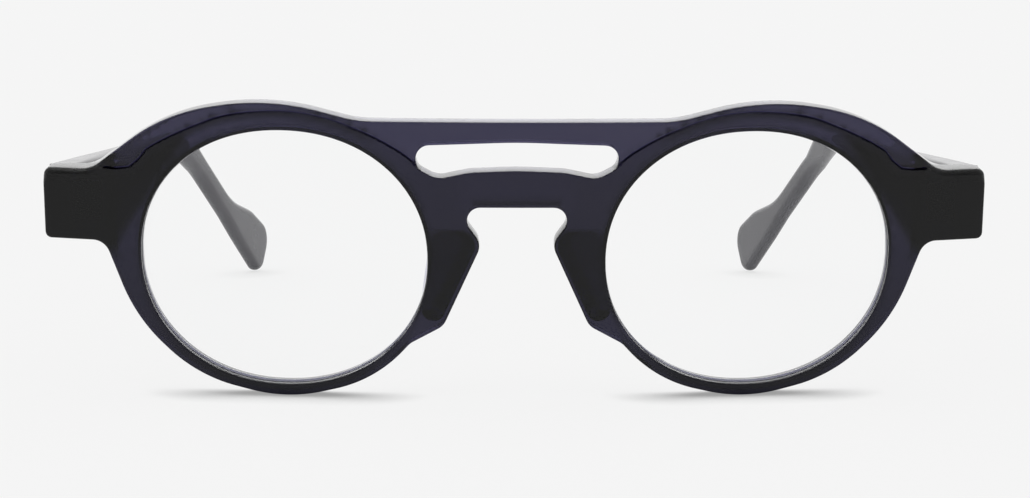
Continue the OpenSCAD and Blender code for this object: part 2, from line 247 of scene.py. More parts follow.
def area(path):
    return sum(a.x * b.y - b.x * a.y for a, b in zip(path, path[1:] + path[:1])) / 2


def turned(path, ccw):
    return path if (area(path) > 0) == ccw else path[::-1]


def inset(path, far):
    """The closed path moved to its left by far(point)."""
    out = []
    count = len(path)
    for i, p in enumerate(path):
        a, b = path[i - 1], path[(i + 1) % count]
        n1 = Vector((-(p - a).y, (p - a).x)).normalized()
        n2 = Vector((-(b - p).y, (b - p).x)).normalized()
        n = (n1 + n2).normalized()
        out.append(p + n * far(p) / max(0.5, n.dot(n1)))
    return out


def inside(points, loops):
    """Which points lie inside the loops, by the even-odd rule."""
    pts = np.array(points)
    found = np.zeros(len(pts), bool)
    for loop in loops:
        arr = np.array([tuple(p) for p in loop])
        nxt = np.roll(arr, -1, axis=0)
        for (x1, y1), (x2, y2) in zip(arr, nxt):
            hit = (y1 > pts[:, 1]) != (y2 > pts[:, 1])
            if hit.any():
                at = (x2 - x1) * (pts[:, 1] - y1) / (y2 - y1) + x1
                found ^= hit & (pts[:, 0] < at)
    return found


def near(points, loops, limit):
    """Which points lie within limit of a point of the loops."""
    allp = np.array([tuple(p) for loop in loops for p in loop])
    pts = np.array(points)
    out = np.zeros(len(pts), bool)
    for i in range(0, len(pts), 500):
        d = np.linalg.norm(pts[i:i + 500, None, :] - allp[None], axis=2)
        out[i:i + 500] = d.min(axis=1) < limit
    return out


# Points between the lines: rows' share of the gap, share kept clear of lines, margin round all
ROW_SHARE, CLEAR_SHARE, MARGIN = 0.866, 0.6, 9


def fill(loops, ridges, gap):
    """Triangles over the area inside the loops, with ridges as edges and a grid of points between."""
    coords, edges, border = [], [], sum(len(loop) for loop in loops)
    for path, closed in [(loop, True) for loop in loops] + [(ridge, False) for ridge in ridges]:
        first = len(coords)
        coords += [Vector(p) for p in path]
        edges += [(first + k, first + k + 1) for k in range(len(path) - 1)]
        if closed:
            edges.append((first + len(path) - 1, first))
    arr = np.array([tuple(c) for c in coords])
    lo, hi = arr.min(axis=0), arr.max(axis=0)
    grid = []
    row = 0
    y = lo[1] + gap / 2
    while y < hi[1]:
        x = lo[0] + (gap / 2 if row % 2 else 0)
        while x < hi[0]:
            grid.append((x, y))
            x += gap
        y += gap * ROW_SHARE
        row += 1
    keep = inside(grid, loops) & ~near(grid, loops + ridges, gap * CLEAR_SHARE)
    coords += [Vector(p) for p, k in zip(grid, keep) if k]
    (left, low), (right, high) = lo - MARGIN, hi + MARGIN
    coords += [Vector((x, y)) for x in (left, right) for y in (low, high)]
    verts, lines, faces, orig, made_from, _ = delaunay_2d_cdt(coords, edges, [], 0, 1e-6)
    walls = {frozenset(line) for line, old in zip(lines, made_from) if any(k < border for k in old)}
    sides = [[frozenset((f[k - 1], f[k])) for k in range(3)] for f in faces]
    beside = {}
    for i, edges_here in enumerate(sides):
        for edge in edges_here:
            beside.setdefault(edge, []).append(i)
    held = inside([tuple(sum((verts[i] for i in f), Vector((0, 0))) / 3) for f in faces], loops)
    spread = [abs((verts[f[1]] - verts[f[0]]).cross(verts[f[2]] - verts[f[0]])) for f in faces]
    kept, seen = [], set()
    for first in range(len(faces)):
        patch, todo = [], [first]
        while todo:
            i = todo.pop()
            if i not in seen:
                seen.add(i)
                patch.append(i)
                todo += [j for edge in sides[i] if edge not in walls for j in beside[edge]]
        if patch and held[max(patch, key=lambda i: spread[i])]:
            kept += patch
    place = {j: i for i, old in enumerate(orig) for j in old}
    return verts, [faces[i] for i in kept], place


ROUND_STEPS = 6


def band(bm, a, b):
    """Faces between two rings of points."""
    for i in range(len(a)):
        j = (i + 1) % len(a)
        bm.faces.new((a[i], a[j], b[j], b[i]))


def new_object(name, bm, degrees):
    """The mesh as an object, smooth but for edges sharper than so many degrees."""
    bmesh.ops.recalc_face_normals(bm, faces=bm.faces)
    mesh = bpy.data.meshes.new(name)
    bm.to_mesh(mesh)
    bm.free()
    obj = bpy.data.objects.new(name, mesh)
    bpy.context.scene.collection.objects.link(obj)
    bpy.ops.object.select_all(action="DESELECT")
    obj.select_set(True)
    bpy.context.view_layer.objects.active = obj
    bpy.ops.object.shade_smooth_by_angle(angle=math.radians(degrees))
    return obj


def slab(name, loops, front, back, place, gap, front_ridges=(), back_ridges=()):
    """A sheet between two surfaces, cut along loops and rounded at its edges.
    Each loop has its path, with the sheet on its left, the rounds (front, back) as functions
    of a point, and a wall: pairs of how far it lies in the sheet, and its depth at a point.
    The points of the walls get 1 in the attribute edge."""
    bm = bmesh.new()
    edge_layer = bm.verts.layers.float.new("edge")
    ends = {"front": [], "back": []}
    for loop in loops:
        path = loop["path"]
        rings = {}
        for side, surface, sign, rnd in (("front", front, 1, loop["rounds"][0]),
                                         ("back", back, -1, loop["rounds"][1])):
            made = []
            for k in range(ROUND_STEPS + 1):
                t = math.pi / 2 * k / ROUND_STEPS
                moved = inset(path, lambda p: rnd(p) * (1 - math.cos(t)))
                ring = []
                for p, m in zip(path, moved):
                    depth = surface(m) + sign * rnd(p) * (1 - math.sin(t))
                    ring.append(bm.verts.new(place(m.x, depth, m.y)))
                made.append(ring)
            rings[side] = made
            ends[side].append((moved, made[-1]))
        wall = [rings["front"][0]]
        for far, depth in loop.get("wall", ()):
            moved = inset(path, lambda p: far)
            wall.append([bm.verts.new(place(m.x, depth(m), m.y)) for m in moved])
        wall.append(rings["back"][0])
        for ring in wall:
            for vert in ring:
                vert[edge_layer] = 1
        rows = rings["front"][::-1] + wall[1:-1] + rings["back"]
        for a, b in zip(rows, rows[1:]):
            band(bm, a, b)
    for side, surface, ridges in (("front", front, front_ridges), ("back", back, back_ridges)):
        paths = [moved for moved, _ in ends[side]]
        verts, faces, found = fill(paths, [list(r) for r in ridges], gap)
        made = {}
        first = 0
        for moved, ring in ends[side]:
            for k, v in enumerate(ring):
                made[found[first + k]] = v
            first += len(ring)
        for i, p in enumerate(verts):
            if i not in made:
                made[i] = bm.verts.new(place(p.x, surface(p), p.y))
        for f in faces:
            bm.faces.new([made[i] for i in f])
    loose = [v for v in bm.verts if not v.link_faces]
    bmesh.ops.delete(bm, geom=loose, context="VERTS")
    return new_object(name, bm, degrees=32)


class Pattern:
    """Outlines and surfaces of the front, in millimetres."""

    def __init__(self):
        s = sizes()
        f = FRONT
        self.half_w = s.front_width / MM / 2
        self.face_r = s.face_radius / MM
        self.sheet = s.sheet / MM
        self.tilt = s.tilt
        self.a = s.hole_width / MM / 2
        self.b = s.hole_height / MM / 2
        self.inner_u = s.hole_gap / MM / 2
        self.lens_u = self.inner_u + self.a
        self.lens_v = f["rim"] + self.b + f["lens_lift"]
        self.end_top = f["bar_top"] - f["end_drop"]
        self.end_bottom = self.end_top - f["end_height"]
        self.slot_top = f["bar_top"] - f["bar_height"]
        self.slot_bottom = self.slot_top - f["slot_height"]
        self.arch_top = self.slot_bottom - f["bridge_height"]
        self.butt_y = self.under(self.half_w, self.sheet) + f["end_more"]
        self.shift_y, self.low_z = self.seat()

    def under(self, u, d):
        """How far back the sheet lies at u, d deep."""
        return self.face_r - math.sqrt((self.face_r - d) ** 2 - u * u)

    def reach(self, a):
        """How far the lens opening reaches towards the direction a."""
        m = FRONT["hole_square"] / (FRONT["hole_square"] - 1)
        return (abs(self.a * cosd(a)) ** m + abs(self.b * sind(a)) ** m) ** (1 / m)

    def radius(self, a):
        """How far from its middle the opening's edge lies in the direction a."""
        m = FRONT["hole_square"]
        return (abs(cosd(a) / self.a) ** m + abs(sind(a) / self.b) ** m) ** (-1 / m)

    def rim(self, a, w):
        """A straight edge that faces the direction a, w outside the lens opening."""
        return straight(a, self.lens_u * cosd(a) + self.lens_v * sind(a) + self.reach(a) + w)

    def hole(self, more=0.0):
        """The lens opening, larger by more."""
        out = []
        k = 2 / FRONT["hole_square"]
        for a in range(360):
            c, s = cosd(a), sind(a)
            out.append(Vector((self.lens_u + math.copysign((self.a + more) * abs(c) ** k, c),
                               self.lens_v + math.copysign((self.b + more) * abs(s) ** k, s))))
        return spaced(out, gap=0.4)

    def outline(self):
        edges = [straight(90, FRONT["bar_top"])]
        edges += [self.rim(a, w) for a, w in BROW_EDGES]
        edges += [straight(90, self.end_top), straight(0, self.half_w), straight(-90, -self.end_bottom)]
        edges += [self.rim(a, FRONT["rim"] + more) for a, more in RIM_EDGES]
        half = [corner(p, q, r) for p, q, r in zip(edges, edges[1:], EDGE_ROUNDS)]
        for u, v, r in (NOSE_FOOT, NOSE_TOE, NOSE_HEAD):
            half.append((self.inner_u + u, self.lens_v + v, r))
        half.append((self.inner_u - ARCH_IN, self.arch_top, ARCH_ROUND))
        return self.both(half)

    def slot(self):
        w, top, low = FRONT["slot_width"] / 2, self.slot_top, self.slot_bottom
        half = [(0, top, SLOT_TOP_ROUND), (w + SLOT_HIGH[0], top + SLOT_HIGH[1], SLOT_HIGH[2])]
        half += [(w + u, low + v, r) for u, v, r in SLOT_LOW]
        return self.both(half + [(0, low, SLOT_BOTTOM_ROUND)])

    def both(self, half):
        whole = half + [(-x, y, r) for x, y, r in half[::-1] if x > 0]
        return spaced(rounded(whole, gap=0.4), gap=0.5)

    def seat(self):
        """How far the front moves back and down to stand on the table under the row's origin."""
        inner = [self.rim(a, FRONT["rim"] - FOOT_ROUND) for a, _ in RIM_EDGES[2:4]]
        u, v, r = corner(*inner, FOOT_ROUND)
        low_z = self.stand_z(self.under(u, 0), v - r)
        shift = FRONT_BOX[0].y / MM - self.stand_y(0, FRONT["bar_top"])
        return shift, low_z

    def stand_y(self, y, v):
        return y * math.cos(self.tilt) - v * math.sin(self.tilt)

    def stand_z(self, y, v):
        return y * math.sin(self.tilt) + v * math.cos(self.tilt)

    def place(self, u, y, v):
        """A point in the row's frame, in metres."""
        return Vector((u, self.stand_y(y, v) + self.shift_y, self.stand_z(y, v) - self.low_z)) * MM


# Outer end of the crease over each lens, from the end piece's side and top
CREASE_END = ((-8.7, 0.5), (-11.2, 0.4), (-13.1, 0.65), (-14.6, 1.85))
# The rest of it: direction from the middle of the lens, and distance from its opening
CREASE = ((38, 4.84), (43, 4.3), (50, 3.7), (58, 3.3), (67, 3.19), (79, 2.89), (92, 2.77),
          (106, 2.59), (116, 2.49), (124, 2.63), (132, 2.93), (140, 3.4), (147, 3.62))
CREASE_STEPS = 8
# The line along the crease: distances above it, and depths as shares of the brow's
CREASE_LINE = ((-0.2, 0), (-0.03, 1.45), (0.14, 1))
# Distances above the crease where edges run along it
CREASE_RIDGES = (-1.6, -0.85, -0.26, -0.2, -0.03, 0.14, 0.24)


def through(a, b, c, d, t):
    """A point at the share t between b and c, on a smooth curve through all four."""
    return 0.5 * (2 * b + (c - a) * t + (2 * a - 5 * b + 4 * c - d) * t * t
                  + (3 * b - a - 3 * c + d) * t ** 3)


def crease_path(pat):
    """The crease over one lens, from the end piece to the slot."""
    out = [Vector((pat.half_w + u, pat.end_top + v)) for u, v in CREASE_END]
    knots = [Vector(c) for c in CREASE]
    last = len(knots) - 1
    for i in range(last):
        a, b, c, d = (knots[max(0, min(last, j))] for j in (i - 1, i, i + 1, i + 2))
        for n in range(CREASE_STEPS):
            q = through(a, b, c, d, n / CREASE_STEPS)
            middle = Vector((pat.lens_u, pat.lens_v))
            out.append(middle + Vector((cosd(q.x), sind(q.x))) * (pat.radius(q.x) + q.y))
    return spaced(out, gap=0.4, closed=False)


def signed_gap(p, path):
    """Distance of p from an open path, above 0 on its right."""
    best, sign = math.inf, 1
    for a, b in zip(path, path[1:]):
        d = b - a
        t = max(0, min(1, (p - a).dot(d) / d.length_squared))
        away = p - (a + d * t)
        if away.length < best:
            best = away.length
            sign = -1 if d.x * away.y - d.y * away.x > 0 else 1
    return best * sign


def between(table, x):
    """The value at x between the rows of a table."""
    for (a, low), (b, high) in zip(table, table[1:]):
        if x <= b:
            return low + (high - low) * max(0, x - a) / (b - a)
    return table[-1][1]


# The photograph's camera: place in millimetres, yaw, pitch and roll, focal length and width in pixels
CAMERA_PLACE = (-6.5, -396.01, 61.09)
CAMERA_TURNS = (-1.112, 6.870, 0.195)
FOCAL_PIXELS, PHOTO_WIDTH = 2221, 1030
SENSOR_WIDTH = 36


class EYEGLASS_OT_camera(bpy.types.Operator):
    """Set the camera where the photograph was taken from"""

    bl_idname = "eyeglass.camera"
    bl_label = "Camera"

    def execute(self, context):
        data = bpy.data.cameras.new("camera")
        cam = bpy.data.objects.new("camera", data)
        context.scene.collection.objects.link(cam)
        yaw, pitch, roll = (math.radians(a) for a in CAMERA_TURNS)
        flat = math.cos(pitch)
        ahead = Vector((-math.sin(yaw) * flat, math.cos(yaw) * flat, -math.sin(pitch)))
        level = Vector((math.cos(yaw), math.sin(yaw), 0))
        above = level.cross(ahead)
        right = level * math.cos(roll) + above * math.sin(roll)
        up = above * math.cos(roll) - level * math.sin(roll)
        turn = Matrix((right, up, -ahead)).transposed().to_4x4()
        cam.matrix_world = Matrix.Translation(Vector(CAMERA_PLACE) * MM) @ turn
        data.sensor_width = SENSOR_WIDTH
        data.lens = SENSOR_WIDTH * FOCAL_PIXELS / PHOTO_WIDTH
        data.clip_start = 0.01
        data.clip_end = 100
        context.scene.camera = cam
        return {"FINISHED"}


FLOOR_SIZE = 30
SUN_STRENGTH, SUN_SPREAD, SUN_TURN = 0.5, 60, (12, -10, 0)


class EYEGLASS_OT_stage(bpy.types.Operator):
    """Lay the white floor and hang the soft lights"""

    bl_idname = "eyeglass.stage"
    bl_label = "Floor and light"

    def execute(self, context):
        scene = context.scene
        bpy.ops.mesh.primitive_plane_add(size=FLOOR_SIZE, location=(0, 0, 0))
        floor = context.object
        floor.name = "floor"
        floor.data.materials.append(material("floor_paper", floor_paper))
        scene.world = studio_world()
        sun = bpy.data.lights.new("soft_sun", "SUN")
        sun.energy = SUN_STRENGTH
        sun.angle = math.radians(SUN_SPREAD)
        lamp = bpy.data.objects.new("soft_sun", sun)
        lamp.rotation_euler = [math.radians(a) for a in SUN_TURN]
        scene.collection.objects.link(lamp)
        scene.view_settings.view_transform = "Standard"
        return {"FINISHED"}


def give(tree, node, inputs):
    """Give a node's inputs values, or the outputs of other nodes."""
    for name, value in inputs.items():
        if isinstance(value, bpy.types.NodeSocket):
            tree.links.new(value, node.inputs[name])
        else:
            node.inputs[name].default_value = value


def added(tree, kind, inputs, **settings):
    """A new node with its settings and its inputs."""
    node = tree.nodes.new("ShaderNode" + kind)
    for name, value in settings.items():
        setattr(node, name, value)
    give(tree, node, inputs)
    return node


def computed(tree, operation, a, b):
    """The outcome of a sum with two numbers."""
    return added(tree, "Math", {0: a, 1: b}, operation=operation).outputs[0]


def mapped(tree, value, low, high, start=0.3, end=0.7):
    """The value, mapped from between start and end to between low and high."""
    limits = {"Value": value, "From Min": start, "From Max": end, "To Min": low, "To Max": high}
    return added(tree, "MapRange", limits).outputs["Result"]


def shaded(tree, value, low, high, start=0, end=1):
    """The value as a colour between low and high."""
    node = added(tree, "ValToRGB", {"Fac": value})
    first, last = node.color_ramp.elements
    first.position, last.position = start, end
    first.color, last.color = (*low, 1), (*high, 1)
    return node.outputs["Color"]


def blended(tree, share, a, b):
    return added(tree, "Mix", {"Factor": share, "A": a, "B": (*b, 1)}, data_type="RGBA").outputs["Result"]


def noise(tree, coords, scale, detail=3.0, stretch=(1, 1, 1)):
    """Soft noise, finer along the axes with more stretch."""
    place = added(tree, "Mapping", {"Vector": coords, "Scale": stretch}).outputs["Vector"]
    return added(tree, "TexNoise", {"Vector": place, "Scale": scale, "Detail": detail}).outputs["Fac"]


def bumped(tree, height, strength, distance):
    bumps = {"Height": height, "Strength": strength, "Distance": distance}
    return added(tree, "Bump", bumps).outputs["Normal"]


def attribute(tree, name):
    return added(tree, "Attribute", {}, attribute_name=name).outputs["Fac"]


def material(name, looks):
    """The material of a name, with what the function looks gives its shader."""
    if name not in bpy.data.materials:
        mat = bpy.data.materials.new(name)
        mat.use_nodes = True
        tree = mat.node_tree
        coords = added(tree, "TexCoord", {}).outputs["Object"]
        give(tree, tree.nodes["Principled BSDF"], looks(tree, coords))
    return bpy.data.materials[name]


def seen_rays(tree):
    """1 for what the camera sees, straight on or through gloss and glass."""
    path = added(tree, "LightPath", {})
    total = path.outputs["Is Camera Ray"]
    for name in ("Is Glossy Ray", "Is Transmission Ray"):
        total = computed(tree, "MAXIMUM", total, path.outputs[name])
    return total


# The floor that the camera sees: its white, its share over the lit paper, the shadow's reach
FLOOR_WHITE, FLOOR_SHARE, SHADOW_REACH = 0.906, 0.92, 8
# How bright the floor stays in the close shadow, in front and at the tips
FRONT_SHADOW, TIP_SHADOW = 0.4, 0.85


def floor_paper(tree, coords):
    """White paper, seen as an even white with the object's close shadow on it."""
    shader = tree.nodes["Principled BSDF"]
    split = added(tree, "SeparateXYZ", {"Vector": coords})
    facing = added(tree, "CombineXYZ", {"Y": 0.8, "Z": 0.6}).outputs["Vector"]
    near_by = added(tree, "AmbientOcclusion", {"Distance": SHADOW_REACH * MM, "Normal": facing}, samples=16)
    dark = mapped(tree, split.outputs["Y"], FRONT_SHADOW, TIP_SHADOW, start=-0.03, end=0.05)
    shade = mapped(tree, near_by.outputs["AO"], dark, 1, start=0.45, end=0.95)
    white = added(tree, "Emission", {"Color": (FLOOR_WHITE, FLOOR_WHITE, FLOOR_WHITE, 1), "Strength": shade})
    share = computed(tree, "MULTIPLY", seen_rays(tree), FLOOR_SHARE)
    both = added(tree, "MixShader", {0: share, 1: shader.outputs[0], 2: white.outputs[0]})
    give(tree, tree.nodes["Material Output"], {"Surface": both.outputs[0]})
    return {"Base Color": (*colours().floor, 1), "Roughness": 1, "Specular IOR Level": 0}


# The world's light: from the camera's side, from elsewhere, and how much more behind
NEAR_LIGHT, FAR_LIGHT, LOW_LIFT, HIGH_LIFT = 0.62, 0.95, 1.12, 1.8


def studio_world():
    """White light, dimmer from the camera's side and brightest behind, a little way up."""
    world = bpy.data.worlds.new("studio")
    world.use_nodes = True
    tree = world.node_tree
    split = added(tree, "SeparateXYZ", {"Vector": added(tree, "TexCoord", {}).outputs["Generated"]})
    level = mapped(tree, split.outputs["Y"], NEAR_LIGHT, FAR_LIGHT, start=-0.8, end=-0.2)
    lift = mapped(tree, split.outputs["Z"], LOW_LIFT, HIGH_LIFT, start=0.14, end=0.32)
    behind = mapped(tree, split.outputs["Y"], 1, lift, start=0.4, end=0.9)
    strength = computed(tree, "MULTIPLY", level, behind)
    give(tree, tree.nodes["Background"], {"Color": (1, 1, 1, 1), "Strength": strength})
    return world


# Refractive indices, as chosen
FRONT_INDEX, TEMPLE_INDEX, LENS_INDEX = 1.34, 1.46, 1.2


def translucent_acetate(density):
    """Looks of translucent acetate, darkened towards the painted shade colour where the front's painted
    shade attribute says so.
    """
    def looks(tree, coords):
        c = colours()
        volume = added(tree, "VolumeAbsorption", {"Color": (*c.tint, 1), "Density": density})
        give(tree, tree.nodes["Material Output"], {"Volume": volume.outputs["Volume"]})
        clear = shaded(tree, noise(tree, coords, 60, 4, (1, 1, 2.5)), (0.86, 0.86, 0.95), (1, 0.98, 1),
                       start=0.35, end=0.65)
        # The base colour darkens with the front's painted shade
        return {"Base Color": blended(tree, attribute(tree, "painted_shade"), clear, c.painted_shade),
                "Transmission Weight": 1,
                "IOR": FRONT_INDEX,
                "Roughness": mapped(tree, noise(tree, coords, 400), 0.01, 0.04),
                "Normal": bumped(tree, noise(tree, coords, 250, 2), 0.03, 0.0002)}
    return looks


def dense_acetate(tree, coords):
    """The same acetate, too dense for light to pass."""
    low, high = ([share * x for x in colours().temple] for share in (0.92, 1.06))
    return {"Base Color": shaded(tree, noise(tree, coords, 60, 4, (1, 0.4, 1)), low, high),
            "IOR": TEMPLE_INDEX,
            "Roughness": mapped(tree, noise(tree, coords, 300, 2), 0.14, 0.2)}


def clear_lens(tree, coords):
    """Clear, with a pale ground edge."""
    edge = attribute(tree, "edge")
    clear = shaded(tree, noise(tree, coords, 40, 2), (0.985, 0.99, 0.99), (1, 1, 1))
    return {"Base Color": blended(tree, edge, clear, colours().lens_edge),
            "Transmission Weight": computed(tree, "SUBTRACT", 1, edge),
            "IOR": LENS_INDEX,
            "Roughness": mapped(tree, noise(tree, coords, 300), 0.0, 0.01)}


def satin_metal(tree, coords):
    """Satin metal with a fine grain."""
    base = colours().metal
    grain = noise(tree, coords, 1500, 2, (1, 1, 8))
    return {"Base Color": shaded(tree, noise(tree, coords, 900, 4), [0.85 * x for x in base], base),
            "Metallic": 1,
            "Roughness": mapped(tree, grain, 0.22, 0.4),
            "Normal": bumped(tree, noise(tree, coords, 3000, 2, (1, 1, 12)), 0.15, 0.00002)}


def finish_piece(obj, mat, body, node):
    """Give a piece its material and body, and hide the imported part it stands for."""
    obj.data.materials.clear()
    obj.data.materials.append(mat)
    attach(obj, body)
    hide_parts(node)


# The block behind each end piece: its slope, and how far the slope stops before the temple
BLOCK_SLOPE, BLOCK_PLAY = 2.5, 0.05
# Height where the bar starts to lie back, and over how much
BAR_STEP = (36, 0.5)
# Rounds: sharper at the foot, larger on the end pieces, the back's and the slot's shares
FOOT_SHARPER, END_ROUNDER, BACK_SHARE, SLOT_SHARES = 0.35, 0.6, 0.7, (0.8, 0.6)
# A height above the whole front
OVER_ALL = 45


def within(lines, loops, side):
    """The stretches of lines inside the loops' rounds, on the front (0) or the back (1)."""
    borders = [inset(loop["path"], loop["rounds"][side]) for loop in loops]
    return [part for line in lines for part in clipped(line, borders, 0.25)]


class EYEGLASS_OT_front(bpy.types.Operator):
    """Build the acetate front with its rounded edges and the crease over each lens"""

    bl_idname = "eyeglass.front"
    bl_label = "Front"

    def execute(self, context):
        s = sizes()
        pat = Pattern()
        f = FRONT
        crease = crease_path(pat)
        deep, outer_r, hole_r = (x / MM for x in (s.crease_depth, s.edge_round, s.hole_round))
        block_u = pat.half_w - f["end_block"]
        slope_u, slope_y = block_u - BLOCK_SLOPE, pat.under(block_u, pat.sheet / 2)

        def raised(p):
            """How far the brow and the bar lie behind the lens rings."""
            q = Vector((abs(p.x), p.y))
            if q.y < pat.end_top - 0.5:
                return 0.0
            if q.x < crease[-1].x:
                return deep * rise(q.y, *BAR_STEP)
            return deep * between(CREASE_LINE, signed_gap(q, crease))

        def front(p):
            return pat.under(p.x, 0) + raised(p)

        def back(p):
            u = abs(p.x)
            y = pat.under(p.x, pat.sheet)
            if u > slope_u:
                slope = slope_y + (pat.butt_y - slope_y) * (u - slope_u) / BLOCK_SLOPE
                y = max(y, min(pat.butt_y - BLOCK_PLAY, slope))
            return y

        def outer_round(p):
            low = rise(p.y - pat.lens_v, 0, -12)
            top = rise(abs(p.x) - pat.half_w, -10, 3) * rise(p.y - pat.end_top, -2.5, 1.5)
            return outer_r * (1 - FOOT_SHARPER * low) + END_ROUNDER * top

        middle = f["lens_in"] + f["lens_thick"] / 2
        wall = [(far, lambda p, d=middle + side * f["groove_width"] / 2: pat.under(p.x, d))
                for far, side in ((0, -1), (f["groove_depth"], 0), (0, 1))]
        hole = turned(pat.hole(), False)
        other = turned([Vector((-p.x, p.y)) for p in hole], False)
        hole_rounds = (even(hole_r), even(hole_r))
        slot_rounds = [even(outer_r * share) for share in SLOT_SHARES]
        loops = [
            {"path": turned(pat.outline(), True),
             "rounds": (outer_round, lambda p: BACK_SHARE * outer_round(p))},
            {"path": hole, "rounds": hole_rounds, "wall": wall},
            {"path": other, "rounds": hole_rounds, "wall": wall},
            {"path": turned(pat.slot(), False), "rounds": slot_rounds},
        ]
        lines = []
        for side in (1, -1):
            for away in CREASE_RIDGES:
                lines.append([Vector((side * p.x, p.y)) for p in inset_open(crease, -away)])
        # Edges along the strip of painted shade over the arch, to keep it sharp
        reach = ARCH_BAND[2] + 1
        for v in ARCH_BAND[:2]:
            across = [Vector((x, pat.arch_top + v)) for x in (-reach, reach)]
            lines.append(spaced(across, gap=0.5, closed=False))
        meet = slope_u
        while back(Vector((meet, 0))) <= pat.under(meet, pat.sheet) + 1e-9:
            meet += 0.01
        folds = []
        for side in (1, -1):
            for u in (meet, block_u):
                upright = [Vector((side * u, v)) for v in (0, OVER_ALL)]
                folds.append(spaced(upright, gap=0.5, closed=False))
        obj = slab("acetate_front", loops, front, back, pat.place, gap=0.9,
                   front_ridges=within(lines, loops, 0), back_ridges=within(folds, loops, 1))
        paint_front_shade(obj, pat, crease)
        finish_piece(obj, material("polished_acetate", translucent_acetate(colours().density)),
                     "front", "front_frame")
        return {"FINISHED"}


# Painted shade on the rings by direction from the middle of the lens: darkest at the bottom, which faces
# down, and lightest at the top, which faces up to the light
RING_SHADE = ((-180, 0.6), (-150, 0.35), (-120, 0.9), (-60, 0.92), (-30, 0.6), (0, 0.45), (30, 0.25),
              (50, 0.05), (90, 0), (120, 0.25), (150, 0.5), (180, 0.6))
# A point on the edge of the painted shade over each end piece, where the temple and hinge lie behind it, and
# the direction that edge faces
END_SHADE_EDGE = (47.6, 38.4, 33.3)
# The strip of painted shade over the arch, in place of a shaded chamfer: where it fades, over the arch, and
# its half width
ARCH_BAND = (0.9, 1.1, 6.2)
# How dark the painted shade is drawn beside the nose, over the arch, on the bar, in the band under the
# crease, along the crease line, over the end pieces and at the lens lip
BRIDGE_SHADE, ARCH_SHADE, BAR_SHADE, BAND_SHADE = 0.45, 0.75, 0, 0.86
LINE_SHADE, END_PIECE_SHADE, LIP_SHADE = 1, 1, 0.5
# Where each of them comes or goes: the start and the length of the step
END_SHADE_STEP, END_SHADE_FOOT, END_SHADE_TOP, END_SHADE_OUT = (-0.3, 1.5), (-2.5, 1.2), (-1.5, 1.2), (-12, 3)
LIP_STEP, BRIDGE_OUT, BRIDGE_UP, ARCH_OUT = (0.45, -0.2), (-3, -4), (26, 3), (0.5, -0.6)
LINE_STEP, BAND_STEP, BAND_OUT, WALL_OUT = (0.36, -0.16), (-1.2, 0.8), (19, 4), (36, 6)
# How much lighter the top of the end piece is painted, as painted light along its rounded top edge, and the
# foot of the bar
END_SHADE_LESS, BAR_FOOT = 0.55, 34.5


def paint_front_shade(obj, pat, crease):
    """Give each point of the front its painted shade, from 0 where it is left lightest to 1 where it is
    painted darkest.
    """
    layer = obj.data.attributes.new("painted_shade", "FLOAT", "POINT")
    walls = obj.data.attributes["edge"].data
    cos_t, sin_t = math.cos(pat.tilt), math.sin(pat.tilt)
    for vert in obj.data.vertices:
        x, y, z = vert.co / MM
        q = Vector((abs(x), (z + pat.low_z) * cos_t - (y - pat.shift_y) * sin_t))
        over_end, over_arch = q.y - pat.end_top, q.y - pat.arch_top
        around = math.degrees(math.atan2(q.y - pat.lens_v, q.x - pat.lens_u))
        from_hole = (q - Vector((pat.lens_u, pat.lens_v))).length - pat.reach(around)
        off = (q.x - END_SHADE_EDGE[0]) * cosd(END_SHADE_EDGE[2]) + (q.y - END_SHADE_EDGE[1]) * sind(END_SHADE_EDGE[2])
        # Painted shade over the end piece, where the temple and hinge behind it darken the acetate, lighter
        # along its top edge
        block = rise(off, *END_SHADE_STEP) * rise(q.y - pat.end_bottom, *END_SHADE_FOOT)
        block *= 1 - END_SHADE_LESS * rise(over_end, *END_SHADE_TOP) * rise(q.x - pat.half_w, *END_SHADE_OUT)
        # Start from the rings' painted shade by direction, deepened over the end piece
        painted_shade = toward(between(RING_SHADE, around), END_PIECE_SHADE, block)
        # Painted shade along the edge of the lens opening
        painted_shade = toward(painted_shade, 1, LIP_SHADE * rise(from_hole, *LIP_STEP))
        # Painted shade on the bridge over the nose
        painted_shade = toward(painted_shade, BRIDGE_SHADE, rise(q.x - pat.inner_u, *BRIDGE_OUT) * rise(q.y, *BRIDGE_UP))
        # Painted shade in a strip over the arch, in place of a shaded chamfer
        if over_arch > -1:
            strip = rise(over_arch, ARCH_BAND[1], ARCH_BAND[0] - ARCH_BAND[1])
            painted_shade = toward(painted_shade, ARCH_SHADE, strip * rise(q.x - ARCH_BAND[2], *ARCH_OUT))
        # Painted shade in the band under the crease and a dark painted line along it, with the bar above
        # left lightest
        if over_end > -0.5 and q.x > crease[-1].x:
            gap = signed_gap(q, crease) - CREASE_LINE[0][0]
            if gap > 0:
                painted_shade = toward(BAR_SHADE, LINE_SHADE, rise(gap, *LINE_STEP))
            else:
                painted_shade = toward(painted_shade, BAND_SHADE, rise(gap, *BAND_STEP) * rise(q.x, *BAND_OUT))
        # The bar is left without painted shade, as its lightest part
        elif q.y > BAR_FOOT:
            painted_shade = BAR_SHADE
        # Painted shade on the brow's outer walls, darker towards the end pieces
        if walls[vert.index].value and from_hole > 1 and over_end > 0.5:
            painted_shade = toward(painted_shade, 1, rise(q.x, *WALL_OUT))
        layer.data[vert.index].value = painted_shade


def inset_open(path, far):
    """An open path moved to its left by far."""
    out = []
    for i, p in enumerate(path):
        a, b = path[max(0, i - 1)], path[min(len(path) - 1, i + 1)]
        d = (b - a).normalized()
        out.append(p + Vector((-d.y, d.x)) * far)
    return out


